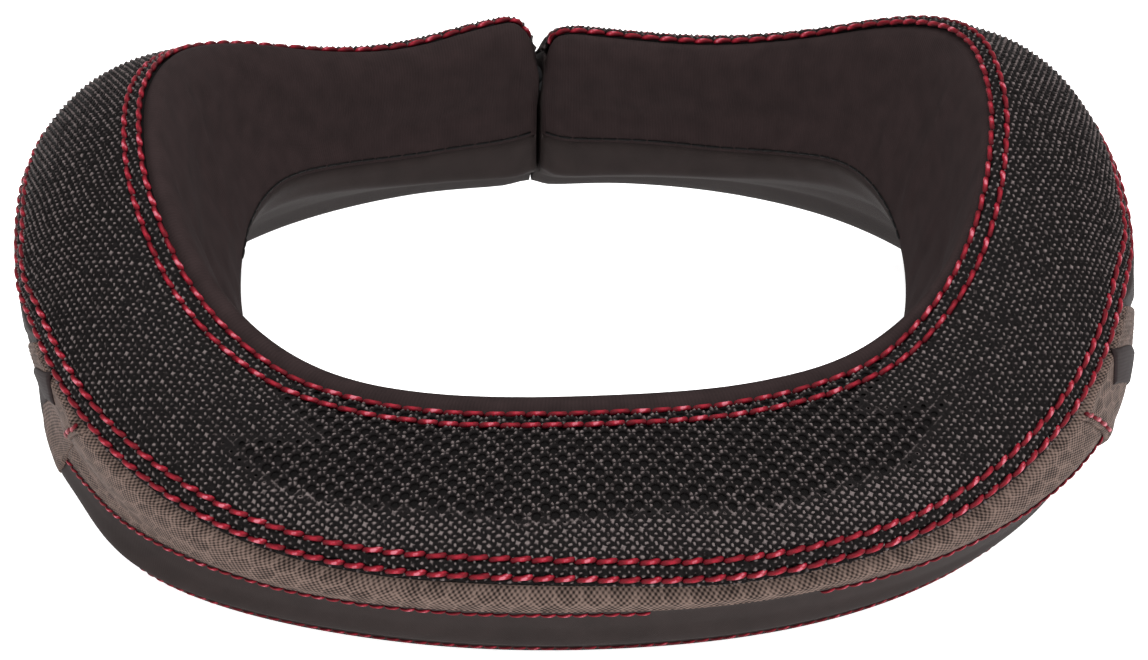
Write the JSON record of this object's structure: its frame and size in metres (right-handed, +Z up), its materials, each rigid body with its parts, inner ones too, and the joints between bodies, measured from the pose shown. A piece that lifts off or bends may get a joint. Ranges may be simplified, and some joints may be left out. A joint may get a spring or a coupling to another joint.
{
  "type": "protective neck collar",
  "caption": "Padded ring collar for the neck in sewn black mesh and taupe ripstop, with a sloping top, a lined neck hollow and a slit closed by a tab at the back.",
  "frame": {"origin": "middle of the bounding box at the base, on the surface that the collar stands on", "axes": "+Z up; -Y toward the front of the collar, under the chin; +X to the wearer's left, which is the right of the picture"},
  "size_m": [0.2926, 0.2624, 0.0985],
  "materials": {
    "foam": "soft closed-cell foam",
    "spacer_mesh": "knitted spacer mesh",
    "ribbed_jersey": "fine ribbed jersey",
    "smooth_cloth": "smooth plain weave",
    "ripstop": "ripstop with a hexagon grid",
    "webbing": "woven webbing"
  },
  "bodies": {
    "root": {"padded_body": "foam", "mesh_top_panel": "spacer_mesh", "neck_lining": "ribbed_jersey", "underside_panel": "smooth_cloth", "front_band": "ripstop", "lower_front_band": "smooth_cloth", "right_side_panel": "ripstop", "left_side_panel": "ripstop", "right_rear_panel": "smooth_cloth", "left_rear_panel": "smooth_cloth", "right_side_strap": "webbing", "left_side_strap": "webbing", "right_end_panel": "smooth_cloth", "left_end_panel": "smooth_cloth", "closure_tab": "webbing"}
  },
  "joints": []
}
